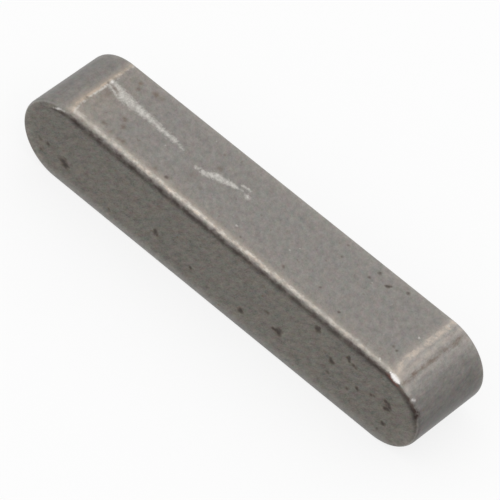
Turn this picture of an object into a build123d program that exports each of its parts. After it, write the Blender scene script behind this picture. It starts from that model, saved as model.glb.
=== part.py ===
"""Parallel key, form A: square section, both ends milled full round.

The key is one piece of drawn key steel. It lies on one flank, as it comes to rest on a bench:
  X  along the key, Y across its height, Z up, across its width.
  The flanks that press on the keyway walls face up and down (+Z and -Z).
  The round-ended faces, which lie towards the shaft and the hub, face -Y and +Y.
The origin is under the middle of the key, on the surface that it lies on. Units are millimetres.
"""

import os

from build123d import *

# Driving dimensions
KEY_WIDTH = 6.0  # b, from flank to flank
KEY_HEIGHT = 6.0  # h, from shaft face to hub face
KEY_LENGTH = 32.0  # l, over both round ends
BAR_EDGE_RADIUS = 0.4  # round on the four long edges of the drawn bar
RIM_RADIUS = 0.3  # round on the rims that the milling leaves at both ends

# The section is drawn across the bar, and the plan of the key is seen from the shaft face
MIDDLE = (0, 0, KEY_WIDTH / 2)
BAR_SECTION = Plane.YZ.shift_origin(MIDDLE)
KEY_PLAN = Plane.XZ.shift_origin(MIDDLE)

# What the milling cutter leaves: full-round ends, each with its rim broken.
# SlotOverall is the key's plan, two flanks with a half circle of the key's width at each end.
with BuildPart() as round_ends:
    with BuildSketch(KEY_PLAN):
        SlotOverall(KEY_LENGTH, KEY_WIDTH)
    extrude(amount=KEY_HEIGHT / 2, both=True)
    plan_faces = round_ends.faces().filter_by(Axis.Y)
    fillet(plan_faces.edges(), radius=RIM_RADIUS)

# The key: a length of drawn bar, with its ends milled round.
# The bar's wider edge rounds run out into the ends, where the flanks turn into the half circles.
with BuildPart() as parallel_key:
    with BuildSketch(BAR_SECTION):
        RectangleRounded(KEY_HEIGHT, KEY_WIDTH, BAR_EDGE_RADIUS)
    extrude(amount=KEY_LENGTH / 2, both=True)
    add(round_ends.part, mode=Mode.INTERSECT)

parallel_key.part.label = "parallel_key"

os.makedirs("parts", exist_ok=True)
export_step(parallel_key.part, "parts/parallel_key.step")
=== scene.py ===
"""Parallel key, form A, in drawn key steel, lying on one flank on a studio floor.

The key is one piece. Its blank is a section swept round the key's plan, and its wear follows:
the rounded bar edges and milled rims, the milled ends, pits and scratches. Highlights on the
edges, rims and ends, the dark lines beside the edges, and shade on the ends and shaft face are
painted into the steel's colour.
Lengths in the settings are in metres. The blank and its wear are worked in millimetres, as its
drawing is, and the finished mesh is brought to metres last.
"""

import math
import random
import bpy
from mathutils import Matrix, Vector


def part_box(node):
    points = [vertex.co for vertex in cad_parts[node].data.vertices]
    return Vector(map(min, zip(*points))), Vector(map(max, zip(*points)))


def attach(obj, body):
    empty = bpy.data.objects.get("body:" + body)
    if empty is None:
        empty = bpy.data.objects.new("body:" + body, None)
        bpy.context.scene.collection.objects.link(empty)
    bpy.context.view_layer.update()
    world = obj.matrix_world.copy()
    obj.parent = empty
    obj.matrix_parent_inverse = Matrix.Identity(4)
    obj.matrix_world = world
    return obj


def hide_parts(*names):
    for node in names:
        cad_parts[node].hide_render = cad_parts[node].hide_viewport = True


bl_info = {
    "name": "Parallel Key",
    "version": (1, 0, 0),
    "blender": (4, 5, 0),
    "location": "3D Viewport > Sidebar > Parallel Key",
    "description": "A round-ended parallel key in worn drawn steel, and the studio that shows it",
    "category": "Object",
}

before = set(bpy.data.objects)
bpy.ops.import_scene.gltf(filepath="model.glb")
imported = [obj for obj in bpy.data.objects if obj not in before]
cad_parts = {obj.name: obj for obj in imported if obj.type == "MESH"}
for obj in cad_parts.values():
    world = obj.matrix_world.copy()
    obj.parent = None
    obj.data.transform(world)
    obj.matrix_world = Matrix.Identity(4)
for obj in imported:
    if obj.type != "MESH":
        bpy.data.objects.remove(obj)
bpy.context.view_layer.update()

import bmesh
import bpy
from mathutils import Matrix, Vector, kdtree, noise

MM = 0.001
NODE = "parallel_key"
LOW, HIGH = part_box(NODE)
LENGTH, HEIGHT, WIDTH = HIGH - LOW
MIDDLE = (LOW + HIGH) / 2

# The sizes in millimetres, in which the blank and its wear are worked
HALF_HEIGHT = HEIGHT / MM / 2
ROUND = WIDTH / MM / 2  # radius of the full-round ends
END = LENGTH / MM / 2 - ROUND  # from the key's middle to the centre of a round end
TIP = round(ROUND * math.pi / 2, 2)  # from the flank, round the end, to its tip
MERGE = 0.0005  # points closer than this are one point


# ---------------------------------------------------------------- settings


class KeyShape(bpy.types.PropertyGroup):
    """The key's edges, and how fine its mesh is."""

    bar_reach: bpy.props.FloatProperty(
        name="Worn edge",
        description="How far the worn upper front edge reaches on to the flats",
        default=0.65 * MM,
        unit="LENGTH",
        subtype="DISTANCE",
    )
    plain_reach: bpy.props.FloatProperty(
        name="Other edges",
        description="How far the round of the other three long edges reaches",
        default=0.38 * MM,
        unit="LENGTH",
        subtype="DISTANCE",
    )
    rim_reach: bpy.props.FloatProperty(
        name="Rim",
        description="How far the round of each end's rim reaches",
        default=0.38 * MM,
        unit="LENGTH",
        subtype="DISTANCE",
    )
    edge_power: bpy.props.FloatProperty(
        name="Edge fullness",
        description="2 is a plain quarter circle, more is a round that fades into the flats",
        default=3.0,
    )
    step: bpy.props.FloatProperty(
        name="Mesh step",
        description="Spacing of the mesh on the flats",
        default=0.13 * MM,
        unit="LENGTH",
        subtype="DISTANCE",
    )
    edge_step: bpy.props.FloatProperty(
        name="Edge step",
        description="Spacing of the mesh across the edges",
        default=0.05 * MM,
        unit="LENGTH",
        subtype="DISTANCE",
    )


class KeyFinish(bpy.types.PropertyGroup):
    """The colours of the steel, and of the light and shade painted into it."""

    steel: bpy.props.FloatVectorProperty(
        name="Steel",
        description="Drawn steel on the flanks",
        default=(0.262, 0.247, 0.230),
        size=3,
        subtype="COLOR",
    )
    # Partly duller steel and partly painted shade, darker than the flank's steel
    scale: bpy.props.FloatVectorProperty(
        name="Duller steel",
        description="Duller steel on the round-ended faces",
        default=(0.165, 0.153, 0.134),
        size=3,
        subtype="COLOR",
    )
    # Partly bare, rubbed steel and partly a painted highlight on the worn edges
    edge: bpy.props.FloatVectorProperty(
        name="Worn edge",
        description="Bright grains on the worn edges",
        default=(0.64, 0.597, 0.535),
        size=3,
        subtype="COLOR",
    )
    bare: bpy.props.FloatVectorProperty(
        name="Bare steel",
        description="Scraped steel in the scratches",
        default=(0.62, 0.60, 0.56),
        size=3,
        subtype="COLOR",
    )
    # Painted highlights on the rims, and the brightest bits of the scratches
    glint: bpy.props.FloatVectorProperty(
        name="Glint",
        description="Knocked spots on the rims and the brightest bits of the scratches",
        default=(0.93, 0.90, 0.88),
        size=3,
        subtype="COLOR",
    )
    # Also the painted highlight along the left end's milled edge, and warm grains in the worn edges
    tan: bpy.props.FloatVectorProperty(
        name="Tan lines",
        description="Warm lines where the milling meets the flank",
        default=(0.51, 0.42, 0.34),
        size=3,
        subtype="COLOR",
    )
    # Painted highlights of the cutter's facets on the right end
    cream: bpy.props.FloatVectorProperty(
        name="Cream",
        description="Pinkish cream of the milled lines on the right end",
        default=(0.555, 0.478, 0.41),
        size=3,
        subtype="COLOR",
    )
    # Red fringe of the painted highlight on the right rim, in the dark line of painted shade
    glint_fringe_red: bpy.props.FloatVectorProperty(
        name="Red fringe of the glint",
        description="Red brown in the dark line under the knocked spot",
        default=(0.17, 0.06, 0.045),
        size=3,
        subtype="COLOR",
    )
    # Real rust in stains, pores and pits; the mesh value of the same name sets the red fringe of
    # the painted highlight
    rust: bpy.props.FloatVectorProperty(
        name="Rust",
        description="Brown stains and pores",
        default=(0.13, 0.085, 0.055),
        size=3,
        subtype="COLOR",
    )
    # Near black in the real pits, and the painted shade of the dark line beside the worn edges
    soot: bpy.props.FloatVectorProperty(
        name="Soot",
        description="Near black in the pits and beside the worn edge",
        default=(0.040, 0.032, 0.029),
        size=3,
        subtype="COLOR",
    )


class Studio(bpy.types.PropertyGroup):
    """Where the camera stands."""

    azimuth: bpy.props.FloatProperty(
        name="Azimuth",
        description="Camera's turn from straight in front of the shaft face, towards +X",
        default=math.radians(33.28),
        unit="ROTATION",
        subtype="ANGLE",
    )
    elevation: bpy.props.FloatProperty(
        name="Elevation",
        description="Camera's height above the floor, as an angle",
        default=math.radians(48.59),
        unit="ROTATION",
        subtype="ANGLE",
    )
    roll: bpy.props.FloatProperty(
        name="Roll",
        description="Camera's turn about its own view",
        default=math.radians(12.71),
        unit="ROTATION",
        subtype="ANGLE",
    )
    distance: bpy.props.FloatProperty(
        name="Distance",
        description="From the camera to the point it looks at",
        default=0.3216,
        unit="LENGTH",
        subtype="DISTANCE",
    )
    lens: bpy.props.FloatProperty(
        name="Lens",
        description="Focal length on a 36 mm sensor",
        default=391.9,
        unit="CAMERA",
    )
    aim: bpy.props.FloatVectorProperty(
        name="Aim",
        description="The point that the camera looks at, from the key's middle",
        default=(0.07 * MM, -0.11 * MM, -0.11 * MM),
        size=3,
        subtype="XYZ",
    )


# ---------------------------------------------------------------- the blank


def chain_offsets(length, reach, step, edge_step, both_ends):
    """Distances along a side of the section, closer together near its edges."""
    inner = length - reach * (2 if both_ends else 1)
    coarse = max(1, round(inner / step))
    fine = max(1, round(reach / edge_step))
    marks = [reach * i / fine for i in range(fine + 1)]
    marks += [reach + inner * i / coarse for i in range(1, coarse + 1)]
    if both_ends:
        marks += [length - reach * (fine - i) / fine for i in range(1, fine + 1)]
    return marks


def sweep_blank(bm, shape):
    """Sweeps half of the bar's section round the key's plan, and joins the ends of the sweep."""
    reach = max(shape.bar_reach, shape.rim_reach) / MM
    step = shape.step / MM
    fine = shape.edge_step / MM

    # From the middle of the shaft face out to the flank, across it, and back in on the hub face
    out = [ROUND - d for d in reversed(chain_offsets(ROUND, reach, step, fine, False))]
    down = chain_offsets(2 * HALF_HEIGHT, reach, step, fine, True)
    outline = [(q, -HALF_HEIGHT) for q in out]
    outline += [(ROUND, d - HALF_HEIGHT) for d in down[1:]]
    outline += [(q, HALF_HEIGHT) for q in reversed(out[:-1])]
    chain = [bm.verts.new(Vector((END, y, ROUND + q))) for q, y in outline]

    # Round the right end, back under the key, round the left end and along the top
    geom = chain + [bm.edges.new(pair) for pair in zip(chain, chain[1:])]
    turns = round(math.pi * ROUND / step)
    strides = round(2 * END / step)
    for side in (1, -1):
        bend = bmesh.ops.spin(
            bm,
            geom=geom,
            cent=(side * END, 0, ROUND),
            axis=(0, 1, 0),
            angle=math.pi,
            steps=turns,
        )
        run = bmesh.ops.spin(
            bm,
            geom=bend["geom_last"],
            cent=(0, 0, 0),
            axis=(0, 1, 0),
            dvec=(-side * 2 * END / strides, 0, 0),
            angle=0,
            steps=strides,
        )
        geom = run["geom_last"]
    bmesh.ops.remove_doubles(bm, verts=bm.verts, dist=MERGE)
    settle_order(bm)
    bmesh.ops.recalc_face_normals(bm, faces=bm.faces)


def settle_order(bm):
    """Puts edges and faces in the order of their corners, because a spin's own order is chance."""
    bm.verts.index_update()
    for parts in (bm.edges, bm.faces):
        ranked = sorted(parts, key=lambda part: sorted(vert.index for vert in part.verts))
        rank = {part: number for number, part in enumerate(ranked)}
        parts.sort(key=rank.get)
    mesh = bpy.data.meshes.new("ordered")
    bm.to_mesh(mesh)
    for edge in mesh.edges:
        edge.vertices = sorted(edge.vertices)
    bm.clear()
    bm.from_mesh(mesh)
    bpy.data.meshes.remove(mesh)


def worn_corner(across, up, reach, rise, power):
    """A point near the corner (0, 0) of a section, both distances inwards, on the worn round."""
    u = 1 - across / reach
    v = 1 - up / rise
    if u <= 0 or v <= 0:
        return across, up
    out = (u**power + v**power) ** (1 / power)
    if out <= 1:
        return across, up
    return reach * (1 - u / out), rise * (1 - v / out)


def round_edges(bm, shape):
    """Rounds the rims that the milling leaves, then the long edges of the drawn bar."""
    rim = shape.rim_reach / MM
    bar = shape.bar_reach / MM
    plain = shape.plain_reach / MM
    power = shape.edge_power
    for vert in bm.verts:
        x, y, z = vert.co
        over = math.copysign(max(abs(x) - END, 0), x)
        out = math.hypot(over, z - ROUND)
        if out > 0:
            gap, drop = worn_corner(ROUND - out, HALF_HEIGHT - abs(y), rim, rim, power)
            pull = (ROUND - gap) / out
            y = math.copysign(HALF_HEIGHT - drop, y)
            z = ROUND + (z - ROUND) * pull
            x += over * (pull - 1)
        worn = y < 0 and z > ROUND
        deep = bar if worn else plain
        wide = bar * along(x, FRONT_WEAR) if worn else plain
        gap, drop = worn_corner(ROUND - abs(z - ROUND), HALF_HEIGHT - abs(y), deep, wide, power)
        y = math.copysign(HALF_HEIGHT - drop, y)
        z = ROUND + math.copysign(ROUND - gap, z - ROUND)
        vert.co = (x, y, z)


# ---------------------------------------------------------------- wear in the shape

# Pits scattered by chance on the two sides that lie away from the front
PIT_SEED = 5
BACK_PITS = 34
UNDER_PITS = 16
PIT_MARGIN = 2.0  # from the key's ends
PIT_SPREAD = 2.2  # to each side of the middle
PIT_RADII = (0.08, 0.2)

# Where the painted highlights on a rim are centred, in from the round end and back from the face
RIM_IN = 0.08
RIM_BACK = 0.05

# How a mark is pressed in, and where the mesh is finer for it
MARK_REACH = 3  # radii from its middle within which a mark has faded out
MARK_GRAIN = 5.0  # how closely its rough outline wanders
DENT = 0.05  # depth of a dent, as a share of its mark's radius
DENT_WALL = 1.6  # how fast a dent falls to that depth
FLANK_STRENGTH = 0.85  # of the pits in the upper flank, against those in the shaft face
SCATTERED_STRENGTH = 0.9
SCRATCH_STEP = 0.05  # between the marks that make a scratch
FINE_STEP = 0.15  # between the places along a scratch where the mesh is made finer
FINE_REACH = 1.7  # the mesh is finer as far as this many radii from a mark's middle,
FINE_SPARE = 0.05  # and this much further
FINE_CUTS = 2

# Pits in the shaft face: along the key, height from the floor, radius and strength
FACE_PITS = (
    (-12.45, 1.95, 0.24, 1.0),
    (-12.25, 1.75, 0.24, 1.0),
    (-12.1, 1.8, 0.15, 0.9),
    (-12.3, 2.25, 0.15, 0.7),
    (-13.8, 2.35, 0.15, 0.8),
    (-14.4, 2.25, 0.19, 0.6),
    (-14.25, 1.5, 0.17, 0.6),
    (-14.1, 1.75, 0.14, 0.5),
    (-8.5, 1.1, 0.13, 0.65),
    (-4.95, 2.35, 0.12, 0.75),
    (-4.85, 2.3, 0.19, 0.9),
    (-4.7, 2.15, 0.11, 0.75),
    (-4.15, 1.25, 0.09, 0.5),
    (-1.88, 1.7, 0.13, 0.9),
    (2.2, 1.7, 0.12, 0.6),
    (2.25, 1.55, 0.22, 0.95),
    (1.65, 2.1, 0.1, 0.5),
    (1.65, 0.85, 0.09, 0.45),
    (4.0, 3.1, 0.1, 0.55),
    (4.15, 3.1, 0.13, 0.65),
    (4.75, 2.2, 0.14, 0.9),
    (4.9, 2.22, 0.14, 0.95),
    (5.05, 2.3, 0.2, 1.0),
    (5.15, 2.2, 0.22, 1.0),
    (5.25, 2.45, 0.2, 0.9),
    (7.0, 1.2, 0.11, 0.5),
    (7.45, 5.2, 0.1, 0.55),
    (7.75, 4.95, 0.23, 1.0),
    (7.85, 5.1, 0.14, 0.9),
    (7.65, 4.88, 0.13, 0.9),
    (9.1, 3.5, 0.13, 0.85),
    (9.2, 3.35, 0.2, 1.0),
    (9.35, 3.4, 0.1, 0.8),
    (10.3, 4.75, 0.12, 0.9),
    (10.3, 4.6, 0.17, 0.95),
    (10.35, 4.42, 0.12, 0.85),
    (10.72, 4.38, 0.16, 0.75),
    (10.9, 4.32, 0.15, 0.7),
    (9.1, 2.25, 0.19, 0.65),
    (10.65, 2.2, 0.16, 0.65),
    (10.8, 2.35, 0.12, 0.5),
    (11.33, 2.82, 0.15, 0.9),
    (12.35, 3.22, 0.15, 0.75),
    (12.55, 3.32, 0.12, 0.7),
    (13.45, 3.62, 0.17, 0.95),
    (13.65, 3.55, 0.18, 0.95),
    (13.75, 3.35, 0.18, 0.95),
    (13.65, 3.15, 0.17, 0.95),
    (13.48, 3.02, 0.16, 0.95),
    (13.55, 3.3, 0.15, 0.65),
    (13.6, 1.75, 0.16, 0.95),
    (13.75, 1.85, 0.1, 0.7),
    (13.3, 1.0, 0.1, 0.65),
    (13.1, 0.65, 0.08, 0.5),
)

# Pits in the upper flank: along the key, across it, radius and strength
FLANK_PITS = (
    (7.55, 1.5, 0.12, 0.8),
    (7.75, 2.23, 0.15, 0.8),
    (8.62, 1.76, 0.1, 0.75),
    (8.7, 1.8, 0.12, 0.9),
    (8.79, 1.86, 0.13, 0.95),
    (8.87, 1.95, 0.1, 0.85),
    (9.87, 2.38, 0.14, 0.85),
    (9.9, 2.5, 0.08, 0.5),
    (8.2, -1.85, 0.11, 0.75),
    (5.45, 1.4, 0.12, 0.65),
    (5.1, 2.35, 0.12, 0.7),
    (3.7, -1.8, 0.15, 0.65),
    (6.2, -1.3, 0.11, 0.65),
    (12.0, -1.3, 0.14, 0.6),
    (12.33, -1.4, 0.13, 0.7),
    (0.55, -2.1, 0.12, 0.6),
    (-1.4, -1.9, 0.1, 0.6),
    (-5.5, -2.1, 0.15, 0.8),
    (-4.45, 1.87, 0.13, 0.55),
)

# Scratches across the upper flank: how bright, and points along, across and half the width there
SCRATCHES = (
    (
        1.0,
        (
            (-12.8, 0.9, 0.16),
            (-12.5, 0.86, 0.19),
            (-12.05, 0.85, 0.18),
            (-11.75, 0.68, 0.3),
            (-11.45, 0.54, 0.38),
            (-11.0, 0.5, 0.35),
            (-10.4, 0.52, 0.3),
            (-9.5, 0.52, 0.27),
        ),
    ),
    (0.85, ((-9.5, 0.52, 0.27), (-8.6, 0.44, 0.23), (-8.1, 0.42, 0.22))),
    (0.7, ((-12.65, 0.55, 0.16), (-12.3, 0.42, 0.16), (-11.95, 0.33, 0.16), (-11.6, 0.24, 0.16))),
    (0.78, ((-8.1, 0.42, 0.22), (-7.5, 0.4, 0.23), (-7.05, 0.37, 0.22))),
    (0.6, ((-7.0, 0.36, 0.21), (-6.7, 0.32, 0.19), (-6.35, 0.26, 0.14))),
    (0.75, ((-5.0, -0.1, 0.1), (-4.87, -0.2, 0.14), (-4.75, -0.15, 0.1), (-4.62, 0.05, 0.08))),
    (
        0.95,
        (
            (-4.4, -0.12, 0.19),
            (-4.1, -0.08, 0.21),
            (-3.85, 0.12, 0.25),
            (-3.6, 0.25, 0.29),
            (-3.3, 0.28, 0.24),
            (-3.0, 0.38, 0.24),
            (-2.75, 0.46, 0.2),
            (-2.2, 0.56, 0.14),
        ),
    ),
    (0.65, ((-2.15, 0.55, 0.12), (-1.85, 0.6, 0.1), (-1.75, 0.65, 0.07))),
    (0.75, ((-2.1, 0.9, 0.11), (-1.7, 1.0, 0.12), (-1.45, 0.96, 0.07))),
    (0.8, ((-1.42, 0.55, 0.16), (-1.28, 0.48, 0.18), (-1.15, 0.45, 0.13))),
    (0.5, ((-1.15, 0.55, 0.08), (-0.9, 0.62, 0.08))),
    (0.9, ((12.05, -2.58, 0.07), (12.3, -2.8, 0.07))),
    (0.6, ((11.0, -2.6, 0.06), (11.2, -2.8, 0.06))),
)

# Bright specks on the upper flank and where it ends: along, across, radius and strength
SPECKS = (
    (-7.25, -0.3, 0.08, 0.7),
    (-0.2, -1.65, 0.09, 1.0),
    (3.1, -0.6, 0.07, 0.7),
    (3.4, -0.05, 0.05, 0.7),
    (7.95, 1.3, 0.06, 0.7),
    (6.4, -0.1, 0.05, 0.7),
    (12.55, 0.33, 0.08, 0.9),
    (9.8, 1.0, 0.05, 0.7),
    (5.2, 1.25, 0.06, 0.45),
    (5.1, 0.7, 0.06, 0.45),
    (5.95, 0.85, 0.06, 0.45),
    (4.2, 1.55, 0.06, 0.45),
    (-5.5, 2.28, 0.06, 0.7),
    (-12.77, 0.9, 0.14, 1.2),
    (-12.95, 1.6, 0.12, 0.6),
    (-12.95, 1.4, 0.1, 0.55),
    (-12.93, 0.1, 0.09, 0.7),
    (-12.83, -0.35, 0.1, 0.75),
    (-12.82, -0.62, 0.13, 0.75),
    (-12.85, -0.95, 0.09, 0.65),
    (-12.83, -1.8, 0.1, 0.55),
    (-12.78, -2.1, 0.12, 0.6),
    (-12.6, -2.45, 0.14, 0.35),
    (10.3, -2.55, 0.1, 0.7),
    (13.08, 2.35, 0.11, 0.8),
    (13.15, 1.1, 0.12, 0.6),
    (13.1, 0.6, 0.1, 0.55),
    (13.2, -0.95, 0.14, 0.7),
    (13.25, -2.1, 0.1, 0.6),
)

# The brightest bits of the scratches: along, across, radius and strength
FLASHES = (
    (-12.78, 0.88, 0.12, 0.6),
    (-11.62, 0.32, 0.13, 0.42),
    (-11.0, 0.35, 0.12, 0.36),
    (-10.15, 0.62, 0.12, 0.36),
    (-7.3, 0.3, 0.1, 0.36),
    (-3.6, 0.35, 0.14, 0.45),
    (-2.9, 0.44, 0.13, 0.42),
)

# Brown stains on the upper flank: along, across, radius and strength
STAINS = (
    (-11.63, 2.13, 0.17, 0.95),
    (-11.37, 1.68, 0.17, 0.85),
    (-11.9, 2.3, 0.14, 0.35),
    (-10.42, 2.2, 0.19, 1.0),
    (-10.3, 2.05, 0.13, 0.95),
    (-9.92, 2.2, 0.22, 0.65),
    (-10.87, -1.85, 0.15, 0.95),
    (-10.28, -0.65, 0.14, 0.95),
    (-10.15, -0.8, 0.12, 0.9),
    (-9.95, -1.0, 0.14, 0.7),
    (-9.85, -1.2, 0.19, 1.0),
    (-10.1, -2.15, 0.18, 0.75),
    (-9.42, -2.15, 0.17, 0.85),
    (-9.07, -2.07, 0.17, 1.0),
    (-8.3, -1.65, 0.45, 0.4),
    (-6.4, -2.08, 0.2, 0.75),
    (-12.92, 0.68, 0.11, 0.7),
    (-12.35, 0.62, 0.18, 0.6),
    (-11.97, 0.47, 0.16, 0.55),
    (-12.3, -0.05, 0.35, 0.6),
    (-12.93, -1.2, 0.12, 0.8),
    (-12.6, -1.6, 0.5, 0.25),
    (-3.85, 0.85, 0.22, 0.85),
    (-4.05, 0.7, 0.15, 0.5),
    (-4.6, -0.85, 0.5, 0.5),
    (-3.6, -1.2, 0.15, 0.6),
    (-10.0, -1.6, 0.9, 0.25),
    (4.45, 1.2, 0.3, 0.22),
    (5.7, -0.8, 0.3, 0.22),
    (9.3, -1.2, 0.3, 0.22),
    (11.0, 2.1, 0.3, 0.22),
    (12.1, -2.0, 0.3, 0.25),
)

# Painted highlights on the rims of the two ends, seen from the shaft face: side, degrees round
# from the flank, across, radius and strength
GLINTS = (
    (1, 3, 0.12, 0.06, 0.9),
    (1, 6, 0.08, 0.1, 1.0),
    (1, 9, 0.03, 0.16, 1.0),
    (1, 12, -0.01, 0.17, 1.0),
    (1, 14.5, -0.01, 0.15, 1.0),
    (1, 17, 0.01, 0.1, 1.0),
    (1, 19, 0.0, 0.06, 0.9),
    (1, 43, 0.14, 0.09, 0.75),
    (1, 45, 0.22, 0.11, 0.7),
    (-1, -1, -0.02, 0.07, 0.45),
    (-1, 0.5, -0.05, 0.08, 0.5),
    (-1, 2.5, -0.08, 0.09, 0.65),
    (-1, 4, -0.1, 0.08, 0.6),
    (-1, 6, -0.12, 0.08, 0.55),
    (-1, 8, -0.13, 0.08, 0.55),
    (-1, 10, -0.15, 0.08, 0.6),
    (-1, 12, -0.18, 0.09, 0.65),
    (-1, 14, -0.21, 0.08, 0.55),
    (-1, 16, -0.22, 0.08, 0.5),
    (-1, 19, -0.24, 0.08, 0.55),
    (-1, 22, -0.26, 0.07, 0.45),
)

# How much further the upper front edge is worn on to the flank than the other long edges
FRONT_WEAR = ((-12.5, 1.45), (-9, 1.4), (-2, 1.28), (2, 1.12), (10, 1.05), (13, 0.9))

# How each edge of the two round-ended faces is worn and painted. Its bright band is partly rubbed
# steel and partly a painted highlight, and on the lower edges a painted reflection of the floor;
# its dark line is painted shade, red under the painted highlight on the right rim. The place is
# counted along the key from its middle, minus to the left, and on round the ends and under the key.
# Across the edge, 0 is its middle and plus is on the flank or the round end. Each mark is a place
# and a value there.
FRONT_EDGE = {
    "shine": (
        (-19, 0.16),
        (-16, 0.1),
        (-14.5, 0),
        (-13.1, 0),
        (-12.7, 0.55),
        (-11.9, 0.65),
        (-11.5, 0.4),
        (-11, 0.55),
        (-9.5, 0.62),
        (-8, 0.74),
        (-5, 0.92),
        (2, 0.88),
        (6, 0.7),
        (12.5, 0.58),
        (13.2, 0.85),
        (14.2, 0.4),
        (15, 0.15),
        (16.2, 0),
        (17.5, 0),
        (19, 0.08),
    ),
    "shine_centre": (
        (-16, -0.05),
        (-12.7, 0.6),
        (-11.5, 0.49),
        (-9, 0.45),
        (-7, 0.4),
        (-4, 0.38),
        (0, 0.34),
        (6, 0.32),
        (9, 0.3),
        (12, 0.22),
        (14.5, 0.12),
        (16.5, -0.1),
        (17.5, -0.3),
    ),
    "shine_reach": (
        (-17, 0.6),
        (-15, 0.2),
        (-12, 0.24),
        (-9, 0.24),
        (0, 0.22),
        (12.5, 0.2),
        (13.5, 0.16),
        (17, 0.3),
        (19, 0.7),
    ),
    "soot": (
        (-14.7, 0),
        (-14.1, 0.6),
        (-13.3, 0.9),
        (-10, 1),
        (-5, 0.92),
        (-2, 0.82),
        (2, 0.85),
        (6, 0.74),
        (9, 0.86),
        (14, 1),
        (15, 1.35),
        (16.1, 1.4),
        (16.5, 1),
        (17, 0.85),
        (17.4, 0.45),
        (18.6, 0.25),
        (19.4, 0),
    ),
    "soot_centre": (
        (-14.2, -0.43),
        (-13.5, -0.4),
        (-13.1, -0.32),
        (-12.7, -0.24),
        (-12, -0.22),
        (-6, -0.18),
        (0, -0.2),
        (12, -0.22),
        (13, -0.27),
        (13.6, -0.38),
        (14.5, -0.36),
        (15.1, -0.26),
        (15.6, -0.16),
        (16, -0.1),
        (16.35, 0.02),
        (16.7, -0.12),
        (17, -0.18),
        (17.5, -0.05),
        (18, 0.02),
    ),
    "soot_reach": (
        (-14, 0.1),
        (-13.2, 0.13),
        (-12.6, 0.25),
        (-12, 0.32),
        (12, 0.36),
        (13.4, 0.24),
        (14.5, 0.22),
        (15.1, 0.33),
        (16, 0.36),
        (16.4, 0.42),
        (17, 0.32),
        (17.6, 0.22),
    ),
    "rust": ((-35, 0.05), (12.8, 0.08), (13.4, 1), (14, 1), (14.4, 0.2), (16, 0.08)),
}
# The other long edges: a faint painted highlight and a faint dark line of painted shade
BACK_EDGE = {
    "shine": ((0, 0.2),),
    "shine_centre": ((0, 0.1),),
    "shine_reach": ((0, 0.35),),
    "soot": ((0, 0.3),),
    "soot_centre": ((0, -0.35),),
    "soot_reach": ((0, 0.3),),
    "rust": ((0, 0.2),),
}


def along(place, marks):
    """Reads a value at a place from its marks, straight between them."""
    if place <= marks[0][0]:
        return marks[0][1]
    for (start, low), (stop, high) in zip(marks, marks[1:]):
        if place < stop:
            return low + (high - low) * (place - start) / (stop - start)
    return marks[-1][1]


def on_face(x, z):
    """A point on the shaft face."""
    return Vector((x, -HALF_HEIGHT, z))


def on_flank(x, y):
    """A point on the upper flank."""
    return Vector((x, y, 2 * ROUND))


def on_rim(side, angle, across):
    """A point on a rim of the shaft face, across on to the round end or, minus, the face."""
    turn = math.radians(angle)
    out = ROUND - RIM_IN + min(across, 0)
    x = side * (END + math.sin(turn) * out)
    return Vector((x, -HALF_HEIGHT + RIM_BACK + max(across, 0), ROUND + math.cos(turn) * out))


def scattered_pits():
    """Pits on the sides that lie away from the front: a point, the way in and a radius."""
    rng = random.Random(PIT_SEED)
    reach = LENGTH / MM / 2 - PIT_MARGIN
    pits = []
    for count, inwards in ((BACK_PITS, Vector((0, -1, 0))), (UNDER_PITS, Vector((0, 0, 1)))):
        for _ in range(count):
            x = rng.uniform(-reach, reach)
            off = rng.uniform(-PIT_SPREAD, PIT_SPREAD)
            radius = rng.uniform(*PIT_RADII)
            back = Vector((x, HALF_HEIGHT, off + ROUND))
            under = Vector((x, off, 0))
            pits.append((back if inwards.y else under, inwards, radius))
    return pits


def scratch_points(scratch, step):
    """Points a step apart along a scratch, each with half the scratch's width there."""
    points = []
    for (x0, y0, w0), (x1, y1, w1) in zip(scratch, scratch[1:]):
        count = max(1, round(math.hypot(x1 - x0, y1 - y0) / step))
        for i in range(count):
            share = i / count
            point = on_flank(x0 + (x1 - x0) * share, y0 + (y1 - y0) * share)
            points.append((point, w0 + (w1 - w0) * share))
    return points


def refine_wear(bm):
    """Makes the mesh finer where pits, specks, scratches and the painted highlights on the rims
    lie.
    """
    spots = [(on_face(x, z), radius) for x, z, radius, strength in FACE_PITS]
    spots += [(on_flank(x, y), radius) for x, y, radius, strength in FLANK_PITS]
    spots += [(on_flank(x, y), radius) for x, y, radius, strength in SPECKS]
    spots += [(point, radius) for point, inwards, radius in scattered_pits()]
    spots += [(on_rim(side, angle, across), r) for side, angle, across, r, strength in GLINTS]
    for strength, scratch in SCRATCHES:
        spots += scratch_points(scratch, FINE_STEP)
    bm.faces.ensure_lookup_table()
    tree = kdtree.KDTree(len(bm.faces))
    for index, face in enumerate(bm.faces):
        tree.insert(face.calc_center_median(), index)
    tree.balance()
    bm.edges.index_update()
    chosen = set()
    for centre, radius in spots:
        for place, index, distance in tree.find_range(centre, radius * FINE_REACH + FINE_SPARE):
            chosen.update(bm.faces[index].edges)
    edges = sorted(chosen, key=lambda edge: edge.index)
    bmesh.ops.subdivide_edges(bm, edges=edges, cuts=FINE_CUTS, use_grid_fill=True)


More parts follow.
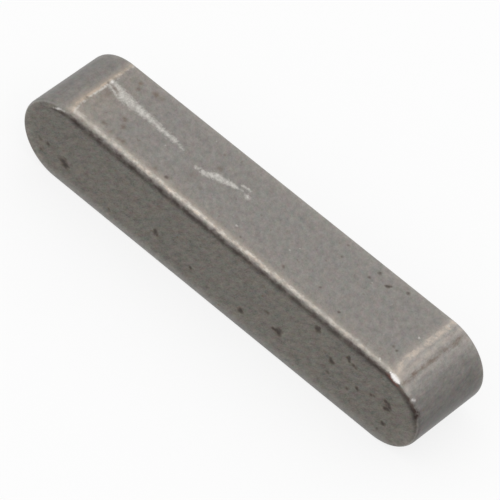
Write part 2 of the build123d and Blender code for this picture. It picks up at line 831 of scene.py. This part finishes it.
def note_places(bm):
    """Notes on each point how far it is round an end, and the wear and painted light of its nearest
    edge.
    """
    layers = bm.verts.layers.float
    names = "past shine shine_at soot soot_at rust pit bare stain glint"
    layer = {name: layers.new(name) for name in names.split()}
    for vert in bm.verts:
        x, y, z = vert.co
        over = abs(x) - END
        if over > 0:
            past = ROUND * (math.pi / 2 - math.atan2(z - ROUND, over))
            out = math.hypot(over, z - ROUND)
        else:
            past = over if z > ROUND else ROUND * math.pi - over
            out = abs(z - ROUND)
        across = (HALF_HEIGHT - abs(y)) - (ROUND - out)
        place = math.copysign(END + past, x)
        edge = FRONT_EDGE if y < 0 else BACK_EDGE
        vert[layer["past"]] = past
        vert[layer["rust"]] = along(place, edge["rust"])
        for mark in ("shine", "soot"):
            vert[layer[mark]] = along(place, edge[mark])
            offset = across - along(place, edge[mark + "_centre"])
            vert[layer[mark + "_at"]] = offset / along(place, edge[mark + "_reach"])


def press(bm, tree, layer, centre, radius, strength=1.0, inwards=None, rough=0.4):
    """Marks a rough spot, at half its strength at the radius, and dents it if told which way."""
    for spot, index, distance in tree.find_range(centre, radius * MARK_REACH):
        vert = bm.verts[index]
        edge = radius * (1 + rough * noise.noise(spot * MARK_GRAIN))
        share = 1 - 0.5 * distance / edge
        if share > 0:
            vert[layer] = max(vert[layer], share * strength)
            if inwards:
                vert.co += inwards * DENT * radius * min(share * DENT_WALL, 1) * strength


def wear_shape(bm):
    """Presses the pits into the steel, and marks its scratches, specks, stains, bright scratch
    spots and painted highlights.
    """
    layers = bm.verts.layers.float
    pit, bare, stain, glint = [layers[name] for name in ("pit", "bare", "stain", "glint")]
    bm.verts.ensure_lookup_table()
    tree = kdtree.KDTree(len(bm.verts))
    for index, vert in enumerate(bm.verts):
        tree.insert(vert.co, index)
    tree.balance()
    for x, z, radius, strength in FACE_PITS:
        press(bm, tree, pit, on_face(x, z), radius, strength, Vector((0, 1, 0)))
    for x, y, radius, strength in FLANK_PITS:
        strength *= FLANK_STRENGTH
        press(bm, tree, pit, on_flank(x, y), radius, strength, Vector((0, 0, -1)))
    for point, inwards, radius in scattered_pits():
        press(bm, tree, pit, point, radius, SCATTERED_STRENGTH, inwards)
    for strength, scratch in SCRATCHES:
        for point, width in scratch_points(scratch, SCRATCH_STEP):
            press(bm, tree, bare, point, width, strength, rough=0.3)
    for x, y, radius, strength in SPECKS:
        press(bm, tree, bare, on_flank(x, y), radius, strength)
    for x, y, radius, strength in STAINS:
        press(bm, tree, stain, on_flank(x, y), radius, strength, rough=0.6)
    for x, y, radius, strength in FLASHES:
        press(bm, tree, glint, on_flank(x, y), radius, strength, rough=0.3)
    for side, angle, across, radius, strength in GLINTS:
        press(bm, tree, glint, on_rim(side, angle, across), radius, strength, rough=0.1)


# ---------------------------------------------------------------- materials

FLOAT, VECTOR = "NodeSocketFloat", "NodeSocketVector"
WHITE = (1.0, 1.0, 1.0, 1)
BLACK = (0.0, 0.0, 0.0, 1)
FLOOR_REFLECTION_GREY = (0.27, 0.273, 0.275, 1)  # painted reflection of the floor on the shaft face, next to the floor
FLANK_WARMTH = (1.13, 1.085, 1.03, 1)  # at most, where the upper flank is lighter and warmer
ROUGHNESS = 0.42
EDGE_GLOSS = -0.12  # change in roughness where the worn edge is brightest
GRAIN_HEIGHT = 5e-6
GRAIN_STRENGTH = 0.6


class Wiring:
    """Adds nodes to one tree, and joins them up."""

    def __init__(self, tree):
        self.nodes = tree.nodes
        self.links = tree.links

    def add(self, kind, inputs=None, **settings):
        """A node with its settings, its inputs fed by name or number."""
        node = self.nodes.new(kind)
        for name, value in settings.items():
            setattr(node, name, value)
        for name, value in (inputs or {}).items():
            self.feed(node.inputs[name], value)
        return node

    def feed(self, socket, value):
        """Links a socket, or sets its plain value."""
        if isinstance(value, bpy.types.NodeSocket):
            self.links.new(value, socket)
        else:
            socket.default_value = value

    def math(self, operation, *values, clamp=False):
        """One step of sums, such as ADD or MULTIPLY."""
        inputs = dict(enumerate(values))
        return self.add("ShaderNodeMath", inputs, operation=operation, use_clamp=clamp).outputs[0]

    def product(self, *values):
        """All the values multiplied together."""
        total = values[0]
        for value in values[1:]:
            total = self.math("MULTIPLY", total, value)
        return total

    def vector(self, operation, *values):
        """One step of sums on vectors or colours."""
        inputs = dict(enumerate(values))
        return self.add("ShaderNodeVectorMath", inputs, operation=operation).outputs[0]

    def noise(self, vector, scale, detail=2.0, roughness=0.5):
        """Blotches at places that the vector gives, as a value and as a colour."""
        inputs = {"Vector": vector, "Scale": scale, "Detail": detail, "Roughness": roughness}
        return self.add("ShaderNodeTexNoise", inputs).outputs

    def smooth(self, value, low, high, start=0.0, stop=1.0):
        """Start below low, stop above high, and a smooth change between them."""
        inputs = {"Value": value, 1: low, 2: high, 3: start, 4: stop}
        node = self.add("ShaderNodeMapRange", inputs, interpolation_type="SMOOTHSTEP")
        return node.outputs["Result"]

    def ridge(self, value, centre, flat, reach):
        """1 where the value is within flat of the centre, falling to 0 at reach from it."""
        gap = self.math("ABSOLUTE", self.math("SUBTRACT", value, centre))
        return self.smooth(gap, flat, reach, 1.0, 0.0)

    def blend(self, share, under, over):
        """One colour laid over another, as thickly as the share says."""
        node = self.add("ShaderNodeMix", data_type="RGBA")
        self.feed(node.inputs[0], share)
        self.feed(node.inputs[6], under)
        self.feed(node.inputs[7], over)
        return node.outputs[2]

    def attribute(self, name):
        """A value noted on the mesh's points."""
        return self.add("ShaderNodeAttribute", attribute_name=name).outputs["Fac"]

    def use(self, group, **inputs):
        """Puts a group in the tree, and gives back its outputs."""
        node = self.add("ShaderNodeGroup", node_tree=group)
        for name, value in inputs.items():
            self.feed(node.inputs[name.replace("_", " ")], value)
        return node.outputs


def new_group(name, takes, gives):
    """The wiring of a new node group, the sockets it is given, and those it fills."""
    group = bpy.data.node_groups.new(name, "ShaderNodeTree")
    for label, kind in takes.items():
        group.interface.new_socket(label, in_out="INPUT", socket_type=kind)
    for label, kind in gives.items():
        group.interface.new_socket(label, in_out="OUTPUT", socket_type=kind)
    wire = Wiring(group)
    return group, wire, wire.add("NodeGroupInput").outputs, wire.add("NodeGroupOutput").inputs


def new_material(name):
    """A material with an empty node tree but for its output, and that tree."""
    material = bpy.data.materials.new(name)
    material.use_nodes = True
    tree = material.node_tree
    for node in list(tree.nodes):
        if node.type != "OUTPUT_MATERIAL":
            tree.nodes.remove(node)
    return material, tree


def grain_group():
    """The dull, fine-grained skin of drawn steel: light and dark, tints, and tiny pores."""
    gives = {"Grain": FLOAT, "Fine": FLOAT, "Tint": VECTOR, "Pores": FLOAT}
    group, wire, given, out = new_group("Steel grain", {"Place": VECTOR}, gives)
    place = given["Place"]
    wire.feed(out["Grain"], wire.noise(place, 2.3, 4.0, 0.85)["Fac"])
    wire.feed(out["Fine"], wire.noise(place, 11.0, 2.0, 0.6)["Fac"])
    wire.feed(out["Tint"], wire.noise(place, 3.0, 4.0, 0.75)["Color"])
    pores = wire.noise(place, 3.2, 1.5, 0.5)["Fac"]
    wire.feed(out["Pores"], wire.smooth(pores, 0.7, 0.8))
    return group


def edge_group():
    """The worn edge: a blotchy band, partly bare steel, partly painted highlight, and painted shade
    beside it.
    """
    takes = {"Place": VECTOR, "Shine": FLOAT, "Shine at": FLOAT, "Soot": FLOAT, "Soot at": FLOAT}
    gives = {"Bright": FLOAT, "Dark": FLOAT, "Red": FLOAT, "Warm": FLOAT}
    group, wire, given, out = new_group("Worn edge", takes, gives)
    place = wire.vector("MULTIPLY", given["Place"], (0.6, 1.0, 1.0))
    ragged = wire.noise(place, 6.0, 2.0, 0.6)["Fac"]
    shift = wire.math("MULTIPLY_ADD", ragged, 1.4, -0.7)
    at = wire.math("ADD", given["Shine at"], shift)
    blobs = wire.smooth(wire.noise(place, 2.6, 3.0, 0.8)["Fac"], 0.3, 0.7, 0.25, 1.1)
    soft = wire.math("MAXIMUM", at, wire.math("MULTIPLY", at, 0.75))
    band = wire.product(wire.ridge(soft, 0.0, 0.2, 1.2), blobs)
    tail = wire.product(wire.smooth(at, -0.5, 0.4), wire.smooth(at, 0.3, 2.6, 0.4, 0.0))
    bright = wire.math("MAXIMUM", band, tail)
    wire.feed(out["Bright"], wire.math("MULTIPLY", bright, given["Shine"], clamp=True))
    warm = wire.smooth(wire.noise(place, 4.6, 2.5, 0.6)["Fac"], 0.42, 0.62, 0.0, 0.85)
    warm = wire.math("MAXIMUM", warm, wire.smooth(at, 0.5, 1.1))
    wire.feed(out["Warm"], wire.product(warm, given["Shine"]))

    # The dark line, painted shade, fades softly on the face's side, and breaks into teeth on the
    # bright side
    at = given["Soot at"]
    teeth = wire.math("ADD", at, wire.smooth(at, -0.3, 0.4, 0.0, shift))
    dark = wire.product(wire.smooth(at, -1.6, -0.1), wire.smooth(teeth, -0.1, 1.3, 1.0, 0.0))
    patchy = wire.smooth(wire.noise(place, 2.4, 2.0, 0.6)["Fac"], 0.36, 0.64, 0.7, 1.2)
    wire.feed(out["Dark"], wire.product(dark, given["Soot"], patchy))
    wire.feed(out["Red"], wire.smooth(teeth, -0.6, 0.5))
    return group


def milling_group():
    """The milled ends: streaks from the cutter, painted shade, and painted highlights and shade in
    their lines.
    """
    takes = {"Place": VECTOR, "Past": FLOAT, "Wall": FLOAT}
    gives = {"Tone": FLOAT, "Tan": FLOAT, "Cream": FLOAT, "Brown": FLOAT, "Pale": FLOAT}
    group, wire, given, out = new_group("Milled ends", takes, gives)
    axes = wire.add("ShaderNodeSeparateXYZ", {0: given["Place"]}).outputs
    past = given["Past"]
    right = wire.product(wire.math("GREATER_THAN", axes["X"], 0.0), given["Wall"])
    left = wire.product(wire.math("LESS_THAN", axes["X"], 0.0), given["Wall"])
    lengthwise = wire.vector("MULTIPLY", given["Place"], (1.0, 0.5, 1.0))
    ragged = wire.noise(lengthwise, 5.0, 4.0, 0.8)["Fac"]

    # The lines on the right end, painted highlights and shade of the cutter's facets, lean back
    # where they near the shaft face, and near the flank that end is painted lighter
    patches = wire.smooth(wire.noise(given["Place"], 2.3, 3.0, 0.75)["Fac"], 0.37, 0.63, 0.3, 1.2)
    spots = wire.smooth(wire.noise(lengthwise, 3.4, 3.0, 0.75)["Fac"], 0.32, 0.68, 0.3, 1.3)
    wander = wire.math("MULTIPLY_ADD", ragged, 0.36, -0.18)
    lean = wire.smooth(axes["Y"], -2.9, -1.3, 0.3, 0.0)
    at = wire.math("ADD", wire.math("SUBTRACT", past, lean), wander)
    first = wire.product(wire.ridge(at, 0.1, 0.06, 0.34), 0.88, patches)
    first = wire.math("MAXIMUM", first, wire.product(wire.ridge(at, -0.05, 0.0, 0.5), 0.2))
    at = wire.math("MULTIPLY_ADD", lean, 0.7, at)
    second = wire.product(wire.ridge(at, 0.68, 0.0, 0.27), 0.44, patches)
    third = wire.product(wire.ridge(at, 1.45, 0.0, 0.25), 0.12, patches)
    cream = wire.math("ADD", first, wire.math("ADD", second, third))
    dark = wire.product(wire.ridge(at, 1.08, 0.0, 0.28), spots, 0.55)
    light = wire.product(wire.smooth(at, -0.5, 0.3), wire.smooth(at, 1.05, 2.5, 1.0, 0.0))
    light = wire.math("MULTIPLY_ADD", wire.product(light, right), 0.32, 1.0)

    # The flank ends on the left in one broken line, orange outside and pale on its flank side: a
    # painted highlight along that edge
    bend = wire.smooth(axes["Y"], -2.65, -1.9, 0.07, -0.15)
    edge = wire.math("ADD", past, wire.math("MULTIPLY_ADD", ragged, 0.3, bend))
    whole = wire.product(wire.smooth(axes["Y"], -2.75, -2.5), left)
    whole = wire.product(whole, wire.smooth(axes["Y"], 1.6, 2.4, 1.0, 0.6))
    line = wire.product(wire.ridge(edge, -0.07, 0.03, 0.2), patches, 0.82)
    line = wire.math("ADD", line, wire.product(wire.ridge(edge, 0.08, 0.0, 0.35), 0.3))
    line = wire.product(line, whole)
    dots = wire.smooth(wire.noise(given["Place"], 2.3, 2.0, 0.6)["Fac"], 0.42, 0.62)
    pale = wire.product(wire.ridge(edge, -0.19, 0.03, 0.14), dots, whole, 0.75)

    # The ends are painted duller and darker, as shade, as they turn away from the flank and down,
    # and they are streaked across as the cutter leaves them
    mirrored = wire.math("ABSOLUTE", wire.math("SUBTRACT", past, TIP))
    mirrored = wire.math("SUBTRACT", TIP, mirrored)
    fade = wire.math("MULTIPLY_ADD", right, -0.6, 0.8)
    dullest = wire.math("MULTIPLY_ADD", right, 0.11, 0.86)
    dull = wire.smooth(mirrored, -0.05, fade, 1.0, dullest)
    lowest = wire.math("MULTIPLY_ADD", right, -0.17, 0.7)
    low = wire.smooth(mirrored, 0.9, 4.6, 1.0, lowest)
    low = wire.product(low, wire.smooth(wire.product(mirrored, left), 1.1, 1.9, 1.0, 0.89))
    turned = wire.add("ShaderNodeCombineXYZ", {0: past, 1: wire.math("MULTIPLY", axes["Y"], 0.12)})
    streaks = wire.noise(turned.outputs[0], 3.0, 3.0, 0.7)["Fac"]
    depth = wire.math("MULTIPLY_ADD", right, 0.15, 0.4)
    on_end = wire.product(wire.smooth(mirrored, 0.0, 0.3), depth)
    lines = wire.math("MULTIPLY_ADD", wire.math("SUBTRACT", streaks, 0.5), on_end, 1.0)
    shade = wire.math("SUBTRACT", wire.product(dull, low, lines, light), 1.0)
    wire.feed(out["Tone"], wire.math("MULTIPLY_ADD", shade, given["Wall"], 1.0))
    wire.feed(out["Tan"], line)
    wire.feed(out["Cream"], wire.product(cream, right))
    wire.feed(out["Brown"], wire.product(dark, right))
    wire.feed(out["Pale"], pale)
    return group


def steel_material(finish):
    """Drawn steel with a fine matt grain, worn edges, milled ends, pits and scratches, and painted
    light and shade.
    """
    material, tree = new_material("key_steel")
    wire = Wiring(tree)
    object_space = wire.add("ShaderNodeTexCoord").outputs
    place = wire.vector("MULTIPLY", object_space["Object"], (1 / MM, 1 / MM, 1 / MM))
    axes = wire.add("ShaderNodeSeparateXYZ", {0: place}).outputs

    # The grain is drawn out along the bar, and leans as it goes across and down
    slant = wire.math("ADD", axes["X"], wire.math("MULTIPLY", axes["Y"], 0.25))
    slant = wire.math("ADD", slant, wire.math("MULTIPLY", axes["Z"], -0.65))
    drawn = wire.add("ShaderNodeCombineXYZ", {0: slant, 1: axes["Y"], 2: axes["Z"]}).outputs[0]
    drawn = wire.vector("MULTIPLY", drawn, (1.0, 0.85, 0.8))
    grain = wire.use(grain_group(), Place=drawn)
    edge = wire.use(
        edge_group(),
        Place=place,
        Shine=wire.attribute("shine"),
        Shine_at=wire.attribute("shine_at"),
        Soot=wire.attribute("soot"),
        Soot_at=wire.attribute("soot_at"),
    )
    faced = wire.add("ShaderNodeSeparateXYZ", {0: object_space["Normal"]}).outputs["Y"]
    wall = wire.smooth(wire.math("ABSOLUTE", faced), 0.3, 0.8, 1.0, 0.0)
    faced = wire.smooth(wire.math("ABSOLUTE", faced), 0.75, 0.98)
    milling = wire.use(milling_group(), Place=place, Past=wire.attribute("past"), Wall=wall)
    fine = wire.math("SUBTRACT", grain["Fine"], 0.5)

    # The steel itself, with its grain and tints; the shaft face's darker colour is partly duller
    # steel and partly painted shade
    skin = wire.blend(faced, (*finish.steel, 1), (*finish.scale, 1))
    grainy = wire.smooth(faced, 0.0, 1.0, 1.0, 1.5)
    tone = wire.math("MULTIPLY_ADD", wire.math("SUBTRACT", grain["Grain"], 0.5), grainy, 1.0)
    tone = wire.math("MULTIPLY_ADD", fine, wire.smooth(faced, 0.0, 1.0, 0.25, 0.85), tone)
    # The ends' tone holds their painted shade and the painted light near the right end's top
    tone = wire.product(tone, milling["Tone"])
    tint = wire.vector("MULTIPLY_ADD", grain["Tint"], (0.36, 0.28, 0.15), (-0.18, -0.14, -0.075))
    tint = wire.vector("MULTIPLY", tint, wire.smooth(faced, 0.0, 1.0, 1.0, 1.7))
    skin = wire.vector("MULTIPLY", skin, wire.vector("ADD", tint, tone))

    # The shaft face is a little darker near its ends, and greyer near the floor, which is a painted
    # reflection of the floor
    outer = wire.smooth(wire.math("ABSOLUTE", axes["X"]), 8.0, 13.5, 0.0, 0.06)
    skin = wire.blend(wire.product(outer, faced), skin, BLACK)
    low = wire.product(wire.smooth(axes["Z"], 0.0, 0.95, 0.6, 0.0), faced)
    skin = wire.blend(low, skin, FLOOR_REFLECTION_GREY)

    # The upper flank is a little lighter and warmer towards its left end and its front edge
    corner = wire.smooth(axes["X"], -13.0, -9.0, 1.0, 0.0)
    corner = wire.product(corner, wire.smooth(axes["Y"], -1.5, 2.5, 1.0, 0.45))
    corner = wire.product(corner, wire.smooth(axes["X"], -13.5, -12.9, 0.2, 1.0))
    front = wire.smooth(axes["Y"], -2.4, -1.1, 0.35, 0.0)
    warm = wire.product(wire.math("MAXIMUM", corner, front), wire.smooth(axes["Z"], 5.7, 5.95))
    skin = wire.vector("MULTIPLY", skin, wire.blend(warm, WHITE, FLANK_WARMTH))

    # Stains, dirt and pits, and the dark line of painted shade beside the worn edge
    stain = wire.math("MULTIPLY_ADD", fine, 0.7, wire.attribute("stain"))
    skin = wire.blend(wire.smooth(stain, 0.1, 1.0, 0.0, 0.6), skin, (*finish.rust, 1))
    pores = wire.product(grain["Pores"], wire.smooth(faced, 0.0, 1.0, 0.3, 0.75))
    skin = wire.blend(pores, skin, (*finish.rust, 1))
    skin = wire.blend(milling["Brown"], skin, (*finish.rust, 1))
    red = wire.product(edge["Red"], wire.attribute("rust"))
    line = wire.blend(red, (*finish.soot, 1), (*finish.glint_fringe_red, 1))
    skin = wire.blend(wire.math("MULTIPLY", edge["Dark"], 0.8, clamp=True), skin, line)
    pit = wire.math("ADD", wire.attribute("pit"), wire.math("MULTIPLY", fine, 0.3))
    skin = wire.blend(wire.smooth(pit, 0.2, 0.5, 0.0, 0.3), skin, (*finish.rust, 1))
    skin = wire.blend(wire.smooth(pit, 0.22, 0.85, 0.0, 0.82), skin, (*finish.soot, 1))

    # Bare metal in the scratches and on the worn edge, which is partly a painted highlight; the tan
    # and cream lines at the ends and the glints are painted highlights
    clean = wire.smooth(wire.attribute("stain"), 0.2, 0.7, 0.9, 0.2)
    skin = wire.blend(wire.product(milling["Tan"], clean), skin, (*finish.tan, 1))
    cream = wire.math("MULTIPLY", milling["Cream"], 0.9, clamp=True)
    skin = wire.blend(cream, skin, (*finish.cream, 1))
    skin = wire.blend(milling["Pale"], skin, (*finish.bare, 1))
    worn = wire.blend(edge["Warm"], (*finish.edge, 1), (*finish.tan, 1))
    skin = wire.blend(edge["Bright"], skin, worn)
    clumps = wire.noise(place, 6.5, 2.0, 0.7)["Fac"]
    ragged = wire.math("MULTIPLY_ADD", clumps, 0.9, -0.45)
    bare = wire.smooth(wire.math("ADD", wire.attribute("bare"), ragged), 0.25, 0.9)
    mottled = wire.smooth(wire.noise(drawn, 4.5, 3.0, 0.75)["Fac"], 0.3, 0.68, 0.4, 0.95)
    bare = wire.product(bare, mottled, wire.smooth(stain, 0.3, 0.8, 1.0, 0.15))
    skin = wire.blend(bare, skin, (*finish.bare, 1))
    glint = wire.smooth(wire.math("MULTIPLY_ADD", fine, 0.2, wire.attribute("glint")), 0.2, 0.8)
    skin = wire.blend(glint, skin, (*finish.glint, 1))

    # The grain stands up a few thousandths of a millimetre, and the worn edge is smoother
    height = wire.math("ADD", grain["Fine"], wire.math("MULTIPLY", bare, 0.3))
    relief = {"Strength": GRAIN_STRENGTH, "Distance": GRAIN_HEIGHT, "Height": height}
    bump = wire.add("ShaderNodeBump", relief)
    shader = wire.add(
        "ShaderNodeBsdfPrincipled",
        {
            "Metallic": 1.0,
            "Base Color": skin,
            "Roughness": wire.math("MULTIPLY_ADD", edge["Bright"], EDGE_GLOSS, ROUGHNESS),
            "Normal": bump.outputs["Normal"],
        },
    )
    wire.feed(tree.get_output_node("ALL").inputs["Surface"], shader.outputs["BSDF"])
    return material


FLOOR_PAINT = (0.9, 0.9, 0.9, 1)
FLOOR_GLOW = 0.8  # how much of the floor shows as plain white


def floor_material():
    """Pale matt paint, mostly plain white where it is seen or reflected."""
    material, tree = new_material("pale_floor")
    wire = Wiring(tree)
    paint = wire.add("ShaderNodeBsdfDiffuse", {"Color": FLOOR_PAINT})
    glow = wire.add("ShaderNodeEmission", {"Color": WHITE})
    path = wire.add("ShaderNodeLightPath").outputs
    seen = path["Is Camera Ray"]
    for name in ("Is Glossy Ray", "Is Transmission Ray"):
        seen = wire.math("MAXIMUM", seen, path[name])
    share = wire.math("MULTIPLY", seen, FLOOR_GLOW)
    mix = wire.add("ShaderNodeMixShader", {0: share, 1: paint.outputs[0], 2: glow.outputs[0]})
    wire.feed(tree.get_output_node("ALL").inputs["Surface"], mix.outputs[0])
    return material


# ---------------------------------------------------------------- operators


class KEYSHOP_OT_build_key(bpy.types.Operator):
    """Make the key from its blank to its finish"""

    bl_idname = "keyshop.build_key"
    bl_label = "Build key"

    def execute(self, context):
        shape = context.scene.key_shape
        finish = context.scene.key_finish
        bm = bmesh.new()
        sweep_blank(bm, shape)
        refine_wear(bm)
        note_places(bm)
        round_edges(bm, shape)
        wear_shape(bm)
        bmesh.ops.scale(bm, vec=(MM, MM, MM), verts=bm.verts)
        mesh = bpy.data.meshes.new("key_blank")
        for face in bm.faces:
            face.smooth = True
        bm.to_mesh(mesh)
        bm.free()
        key = bpy.data.objects.new("worn_key", mesh)
        context.scene.collection.objects.link(key)
        mesh.materials.append(steel_material(finish))
        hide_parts(NODE)
        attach(key, "root")
        return {"FINISHED"}


class KEYSHOP_OT_set_studio(bpy.types.Operator):
    """Lay the floor, light the room, hang the softbox and set the camera"""

    bl_idname = "keyshop.set_studio"
    bl_label = "Set studio"

    def execute(self, context):
        scene = context.scene
        scene.view_settings.view_transform = "Standard"
        lay_floor(scene)
        light_room(scene)
        hang_softbox(scene)
        set_camera(scene, scene.key_studio)
        return {"FINISHED"}


FLOOR_REACH = 2.0  # from the middle to each side
SOFTBOX_PLACE = (-0.16, 0.02, 0.38)
SOFTBOX_SIZE = 0.14
SOFTBOX_POWER = 0.035  # watts
SENSOR = 36  # millimetres


def lay_floor(scene):
    """A pale floor under the key, which keeps the key's shadow."""
    bm = bmesh.new()
    bmesh.ops.create_grid(bm, x_segments=1, y_segments=1, size=FLOOR_REACH)
    mesh = bpy.data.meshes.new("floor")
    bm.to_mesh(mesh)
    bm.free()
    floor = bpy.data.objects.new("floor", mesh)
    scene.collection.objects.link(floor)
    mesh.materials.append(floor_material())


def light_room(scene):
    """The room's own even light, which is the white that the key is seen against."""
    world = bpy.data.worlds.new("studio_room")
    scene.world = world
    world.use_nodes = True
    world.node_tree.nodes.clear()
    wire = Wiring(world.node_tree)
    room = wire.add("ShaderNodeBackground", {"Color": WHITE})
    wire.add("ShaderNodeOutputWorld", {"Surface": room.outputs[0]})


def hang_softbox(scene):
    """A square lamp that faces the key, and brightens its worn edge."""
    light = bpy.data.lights.new("softbox", "AREA")
    light.shape = "SQUARE"
    light.size = SOFTBOX_SIZE
    light.energy = SOFTBOX_POWER
    lamp = bpy.data.objects.new("softbox", light)
    lamp.location = SOFTBOX_PLACE
    facing = (MIDDLE - Vector(SOFTBOX_PLACE)).to_track_quat("-Z", "Y")
    lamp.rotation_euler = facing.to_euler()
    scene.collection.objects.link(lamp)


def set_camera(scene, studio):
    """The camera, by its angles round the point that it looks at."""
    az, el = studio.azimuth, studio.elevation
    back = Vector((math.sin(az) * math.cos(el), -math.cos(az) * math.cos(el), math.sin(el)))
    aim = MIDDLE + Vector(studio.aim)
    camera = bpy.data.cameras.new("camera")
    camera.sensor_width = SENSOR
    camera.lens = studio.lens
    rig = bpy.data.objects.new("camera", camera)
    turn = back.to_track_quat("Z", "Y").to_matrix() @ Matrix.Rotation(studio.roll, 3, "Z")
    rig.matrix_world = Matrix.Translation(aim + back * studio.distance) @ turn.to_4x4()
    scene.collection.objects.link(rig)
    scene.camera = rig


class KEYSHOP_PT_sidebar(bpy.types.Panel):
    """The key's settings, and the buttons that build it"""

    bl_idname = "KEYSHOP_PT_sidebar"
    bl_label = "Parallel Key"
    bl_space_type = "VIEW_3D"
    bl_region_type = "UI"
    bl_category = "Parallel Key"

    def draw(self, context):
        layout = self.layout
        for group in SETTINGS:
            settings = getattr(context.scene, group)
            box = layout.box()
            for name in settings.__annotations__:
                box.prop(settings, name)
        layout.operator(KEYSHOP_OT_build_key.bl_idname)
        layout.operator(KEYSHOP_OT_set_studio.bl_idname)


SETTINGS = {"key_shape": KeyShape, "key_finish": KeyFinish, "key_studio": Studio}
CLASSES = (
    *SETTINGS.values(),
    KEYSHOP_OT_build_key,
    KEYSHOP_OT_set_studio,
    KEYSHOP_PT_sidebar,
)


def register():
    for cls in CLASSES:
        bpy.utils.register_class(cls)
    for name, group in SETTINGS.items():
        setattr(bpy.types.Scene, name, bpy.props.PointerProperty(type=group))


def unregister():
    for name in SETTINGS:
        delattr(bpy.types.Scene, name)
    for cls in reversed(CLASSES):
        bpy.utils.unregister_class(cls)


def main():
    """Builds the key and its studio."""
    register()
    bpy.ops.keyshop.build_key()
    bpy.ops.keyshop.set_studio()


if __name__ == "__main__":
    main()
